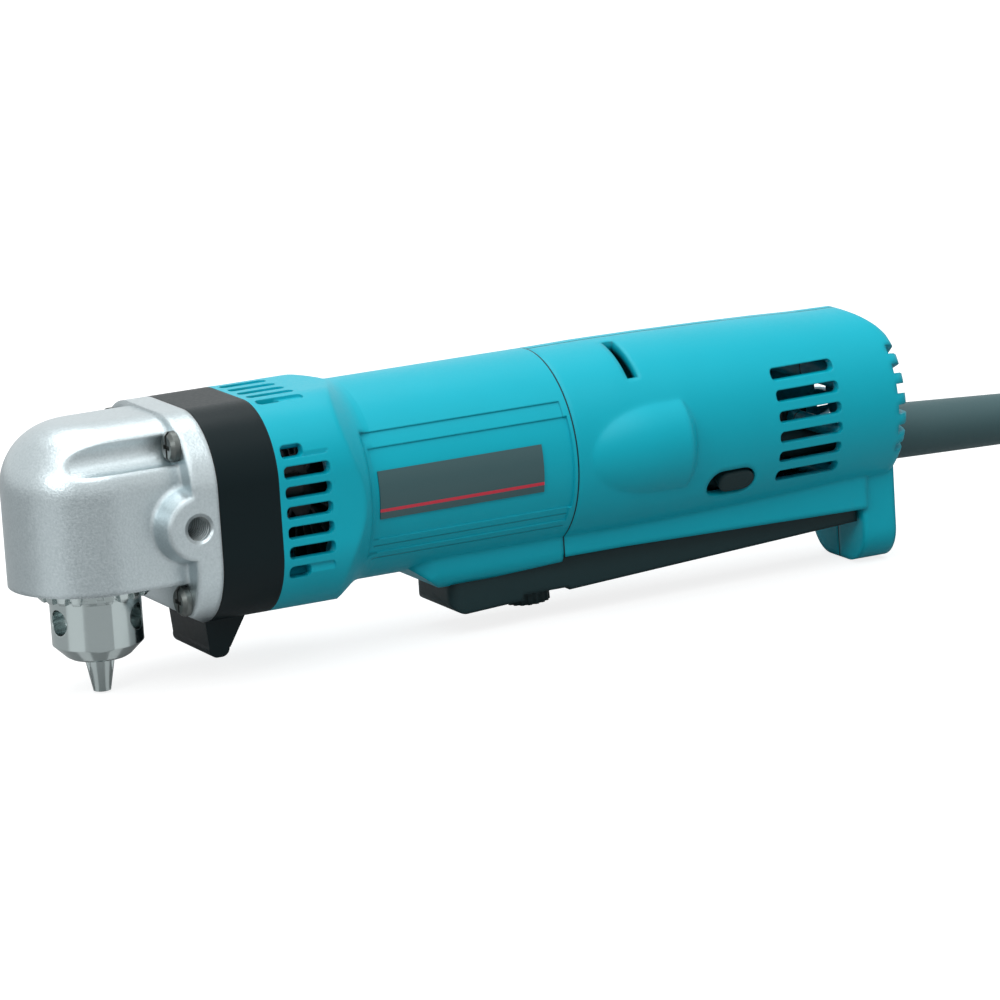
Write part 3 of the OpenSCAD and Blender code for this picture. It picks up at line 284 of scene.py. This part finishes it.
scene.world = bpy.data.worlds.new("world")
scene.world.use_nodes = True
sky = Paint(scene.world.node_tree)
ambient = sky.node("Background", Color=(0.92, 1.0, 1.04, 1), Strength=0.36)
white = sky.node("Background", Color=(1, 1, 1, 1), Strength=1.0)
backdrop = sky.node("MixShader", i0=sky.seen(), i1=ambient, i2=white)
sky.tree.links.new(backdrop.out, sky.tree.nodes["World Output"].inputs[0])


# Floor's finish: white to the camera, so that only the shadow shows on it, and dim in reflections but for two
# glowing patches at either side in front of the chuck, painted reflections that show only in polished metal.
GLINT_PATCH_TURN, GLINT_PATCH_MIDDLE, GLINT_PATCH_HALF = math.radians(-110), math.radians(54), math.radians(21)
GLINT_PATCH_REACH = 0.45
FLOOR_SHINE, GLINT_PATCH_GLOW, FLOOR_WHITE = 0.10, 0.40, (0.82, 0.82, 0.82)


def material(name, colour, roughness, metallic=0.0, specular=0.5):
    """A new Principled material: (its painter, its shader node, the material)."""
    made = bpy.data.materials.new(name)
    made.use_nodes = True
    shader = made.node_tree.nodes["Principled BSDF"]
    shader.inputs["Base Color"].default_value = (*colour, 1)
    shader.inputs["Roughness"].default_value = roughness
    shader.inputs["Metallic"].default_value = metallic
    shader.inputs["Specular IOR Level"].default_value = specular
    return Paint(made.node_tree), shader, made


def feed(paint, shader, **sockets):
    """Links sockets to a shader's inputs of those names."""
    for key, value in sockets.items():
        paint.tree.links.new(value.out, shader.inputs[key.replace("_", " ")])


def dress(paint_of, *names):
    """Gives CAD nodes a material."""
    for name in names:
        mesh = nodes[name].data
        mesh.materials.clear()
        mesh.materials.append(paint_of)


paint, shader, floor_paint = material("floor", (0.35, 0.35, 0.35), 0.9, specular=0.0)
shader.inputs["Emission Strength"].default_value = 1.0
x, y, z = paint.place()
ahead = x * math.cos(GLINT_PATCH_TURN) + y * math.sin(GLINT_PATCH_TURN)
aside = y * math.cos(GLINT_PATCH_TURN) - x * math.sin(GLINT_PATCH_TURN)
reached = 1 - (x * x + y * y).above(GLINT_PATCH_REACH ** 2)
# Painted reflection: two wedges of the floor glow only for mirror rays, with no lamp behind them.
glint_patch = aside.bearing(ahead).size().near(GLINT_PATCH_MIDDLE, GLINT_PATCH_HALF) * reached
mirrored = FLOOR_SHINE + GLINT_PATCH_GLOW * glint_patch
feed(paint, shader, Emission_Color=paint.mix(paint.seen(mirrored), (0, 0, 0), FLOOR_WHITE))
floor_mesh.materials.append(floor_paint)

# Moulded teal housings: satin plastic with a fine spark texture and dark joint lines at the collar,
# at the seam of the handle and along the handle's split, and painted shade in the grip panel's two shallow
# grooves.
# The neck, the handle's bulges and its skirt run into one another with wide fillets, and the vents and panel
# steps have small ones.
MOTOR_X, SEAM_X, AXIS_Z, JOINT = 0.043, 0.1345, 0.047, 0.00022
NECK_X, NECK_HALF, BULGE_X, BULGE_HALF = 0.0668, 0.0075, 0.166, 0.031
CAP_X, CHIN_X, SKIRT_Z = 0.2215, 0.085, AXIS_Z - 0.0195
FINE_FILLET, WIDE_FILLET = 0.0006, 0.0024
GROOVES = (math.radians(-32.3), math.radians(-41.5))
GROOVE_HALF, GROOVE_DEPTH, GROOVE_X, GROOVE_RUN = 0.014, 0.0003, 0.1025, 0.0295
paint, shader, teal = material("teal", (0.0, 0.38, 0.50), 0.42, specular=0.25)
x, y, z = paint.place()
split = y.near(0, JOINT) * x.above(SEAM_X)
line = x.near(SEAM_X, JOINT).top(x.near(MOTOR_X, JOINT)).top(split)
tone = paint.mix(paint.grain(60), (0.0, 0.405, 0.515), (0.0, 0.435, 0.555))
neck = x.near(NECK_X, NECK_HALF)
skirt = (1 - z.above(SKIRT_Z)) * x.above(CHIN_X)
plain = (x.near(BULGE_X, BULGE_HALF) + x.above(CAP_X) + skirt).low(1)
soft = paint.mix(plain.top(neck), paint.round(FINE_FILLET), paint.round(WIDE_FILLET, 8))
angle = (z - AXIS_Z).bearing(y.size())
groove_and_shade = sum((1 - (angle - a).size() / GROOVE_HALF).top(0) for a in GROOVES) * x.near(GROOVE_X, GROOVE_RUN)
grooved = paint.node("Bump", Strength=1.0, Distance=1.0, Height=-GROOVE_DEPTH * groove_and_shade,
    Normal=paint.skin(soft, 0.05, 2600))
# Painted shade: the grooves' colour is darkened towards near-black, on top of their bump.
feed(paint, shader, Base_Color=paint.mix(line.top(0.35 * groove_and_shade), tone, (0.0, 0.03, 0.04)),
    Roughness=0.34 + 0.14 * paint.grain(900), Normal=grooved)
dress(teal, "motor_housing", "handle_left", "handle_right")

# Cast gear head: bead blasted aluminium, grainy and a little uneven, with a bright chamfer round
# the mouths of its tapped side holes and a dark line where it meets the guard collar.
COLLAR_X = 0.0255
HOLE_X, HOLE_R, CHAMFER, CHAMFER_Y = 0.0192, 0.0034, 0.0008, 0.0303
paint, shader, cast = material("cast", (0.60, 0.62, 0.62), 0.42, metallic=1.0)
x, y, z = paint.place()
speck = paint.grain(1500, 4.0)
from_hole = ((x - HOLE_X) * (x - HOLE_X) + (z - AXIS_Z) * (z - AXIS_Z)).power(0.5)
chamfer = (from_hole - HOLE_R).low(CHAMFER).top(0) * y.size().above(CHAMFER_Y)
shape = paint.node("Bump", Strength=1.0, Distance=1.0, Height=chamfer,
    Normal=paint.skin(paint.round(0.0022), 0.3, 1500))
line = x.near(COLLAR_X, JOINT)
tone = paint.mix(speck, (0.39, 0.46, 0.48), (0.60, 0.67, 0.695))
feed(paint, shader, Base_Color=paint.mix(line, tone, (0.03, 0.03, 0.03)), Roughness=0.24 + 0.22 * speck,
    Normal=shape)
dress(cast, "gear_housing", "gear_plate")

# Thread in the two side handle holes: an M8 ridge of 1.25 mm pitch that winds in from each mouth,
# cut into the casting, so its metal is fresh and smoother than the cast skin.
THREAD_PITCH, RIDGE, THREAD_TURNS, MOUTH_Y = 0.00125, 0.0003, 9.0, 0.0300
RINGS_A_TURN, RIDGE_SIDES = 28, 6
paint, shader, cut = material("cut_thread", (0.30, 0.335, 0.34), 0.3, metallic=1.0)
feed(paint, shader, Roughness=0.22 + 0.16 * paint.grain(900))
tree = bpy.data.node_groups.new("tapped_thread", "GeometryNodeTree")
for name, value in ("Bore Radius", HOLE_R), ("Pitch", THREAD_PITCH), ("Turns", THREAD_TURNS), ("Ridge", RIDGE):
    tree.interface.new_socket(name, in_out="INPUT", socket_type="NodeSocketFloat").default_value = value
tree.interface.new_socket("Geometry", in_out="OUTPUT", socket_type="NodeSocketGeometry")


def part_of(tree, kind, **sockets):
    """One geometry node with its sockets set or linked, by the sockets' names."""
    made = tree.nodes.new(kind)
    for key, value in sockets.items():
        slot = made.inputs[key.replace("_", " ")]
        if isinstance(value, bpy.types.NodeSocket):
            tree.links.new(value, slot)
        else:
            slot.default_value = value
    return made


sizes = tree.nodes.new("NodeGroupInput").outputs
depth = part_of(tree, "ShaderNodeMath")
depth.operation = "MULTIPLY"
tree.links.new(sizes["Pitch"], depth.inputs[0])
tree.links.new(sizes["Turns"], depth.inputs[1])
winding = part_of(tree, "GeometryNodeCurveSpiral", Resolution=RINGS_A_TURN, Rotations=sizes["Turns"],
    Start_Radius=sizes["Bore Radius"], End_Radius=sizes["Bore Radius"], Height=depth.outputs[0])
ridge = part_of(tree, "GeometryNodeCurvePrimitiveCircle", Resolution=RIDGE_SIDES, Radius=sizes["Ridge"])
sweep = part_of(tree, "GeometryNodeCurveToMesh", Curve=winding.outputs[0], Profile_Curve=ridge.outputs[0],
    Fill_Caps=True)
both = tree.nodes.new("GeometryNodeJoinGeometry")
for side in (-1, 1):
    placed = part_of(tree, "GeometryNodeTransform", Geometry=sweep.outputs[0],
        Translation=(HOLE_X, side * MOUTH_Y, AXIS_Z), Rotation=(side * math.pi / 2, 0, 0))
    tree.links.new(placed.outputs[0], both.inputs[0])
plain_mesh = part_of(tree, "GeometryNodeRealizeInstances", Geometry=both.outputs[0])
finish = part_of(tree, "GeometryNodeSetMaterial", Geometry=plain_mesh.outputs[0], Material=cut)
tree.links.new(finish.outputs[0], tree.nodes.new("NodeGroupOutput").inputs[0])
thread = bpy.data.objects.new("side_hole_threads", bpy.data.meshes.new("side_hole_threads"))
scene.collection.objects.link(thread)
thread.modifiers.new("thread", "NODES").node_group = tree
wound = bpy.data.meshes.new_from_object(thread.evaluated_get(bpy.context.evaluated_depsgraph_get()))
thread.modifiers.clear()
thread.data = wound
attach(thread, "housing")

# Black plastics: lever, wheel, reversing button and the inner mouldings, satin and a little blue,
# and the guard collar in a deeper black.
paint, shader, black = material("black", (0.009, 0.030, 0.034), 0.42, specular=0.25)
tone = paint.mix(paint.grain(120), (0.008, 0.028, 0.031), (0.011, 0.034, 0.038))
feed(paint, shader, Base_Color=tone, Roughness=0.38 + 0.12 * paint.grain(900),
    Normal=paint.skin(paint.round(0.0018), 0.06, 2600))
dress(black, "paddle_lever", "speed_wheel", "reversing_button", "switch_body", "switch_plunger",
    "baffle_plate", "cooling_fan", "cord_clamp", "cord_tie", "plug_body", "carbon_brushes")
paint, shader, deep_black = material("deep_black", (0.002, 0.009, 0.011), 0.4, specular=0.14)
feed(paint, shader, Roughness=0.34 + 0.12 * paint.grain(900),
    Normal=paint.skin(paint.round(0.0006), 0.05, 2600))
dress(deep_black, "finger_guard_collar")

# Steel pieces: a ground and polished chuck, turned gears, shafts and bearings of a darker grey,
# and blackened screws with slots.
paint, shader, ground = material("ground_steel", (0.50, 0.57, 0.57), 0.2, metallic=1.0)
feed(paint, shader, Roughness=0.10 + 0.14 * paint.grain(700),
    Normal=paint.skin(paint.round(0.0004), 0.02, 900))
dress(ground, "chuck_body", "chuck_sleeve", "chuck_nut", "chuck_jaw_1", "chuck_jaw_2", "chuck_jaw_3")
paint, shader, steel = material("steel", (0.42, 0.42, 0.42), 0.35, metallic=1.0)
feed(paint, shader, Roughness=0.28 + 0.16 * paint.grain(800))
dress(steel, "armature_shaft", "armature_core", "front_motor_bearing", "rear_motor_bearing", "field_core",
    "spur_gear", "bevel_pinion", "pinion_bearings", "bevel_gear", "spindle", "upper_spindle_bearing",
    "lower_spindle_bearing", "bearing_retainer", "lever_pivot_pin", "plug_pins")
paint, shader, dark_steel = material("dark_steel", (0.13, 0.145, 0.14), 0.35, metallic=0.9)
feed(paint, shader, Roughness=0.26 + 0.2 * paint.grain(900),
    Normal=paint.skin(paint.round(0.0003), 0.05, 1500))
dress(dark_steel, "gear_housing_screws", "handle_screws", "cord_clamp_screws")

# Motor metals: wound copper coils and a copper commutator on the armature,
# and folded brass holders for the brushes.
paint, shader, copper = material("copper", (0.55, 0.22, 0.10), 0.35, metallic=1.0)
feed(paint, shader, Roughness=0.28 + 0.2 * paint.grain(500))
dress(copper, "armature_windings", "commutator", "field_coils")
paint, shader, brass = material("brass", (0.62, 0.46, 0.18), 0.3, metallic=1.0)
feed(paint, shader, Roughness=0.24 + 0.2 * paint.grain(500))
dress(brass, "brush_holders")

# Lead and its guard: matt dark grey rubber, moulded round the cord where it leaves the handle
# and drawn as a plain jacket from there on.
paint, shader, rubber = material("rubber", (0.037, 0.088, 0.095), 0.5, specular=0.45)
feed(paint, shader, Roughness=0.46 + 0.16 * paint.grain(700),
    Normal=paint.skin(paint.round(0.0005), 0.05, 2600))
dress(rubber, "cord_guard", "inner_lead")
curve.materials.append(rubber)

# Side label: dark grey film, stuck into the grip panel and bare but for a thin red stripe
# printed near its lower edge.
STRIPE_LOW, STRIPE_TOP = 0.0423, 0.0432
paint, shader, film = material("label", (0.05, 0.06, 0.065), 0.35)
x, y, z = paint.place()
stripe = z.above(STRIPE_LOW) - z.above(STRIPE_TOP)
feed(paint, shader, Base_Color=paint.mix(stripe, (0.034, 0.092, 0.100), (0.62, 0.02, 0.05)),
    Roughness=0.3 + 0.1 * paint.grain(300))
dress(film, "side_label")
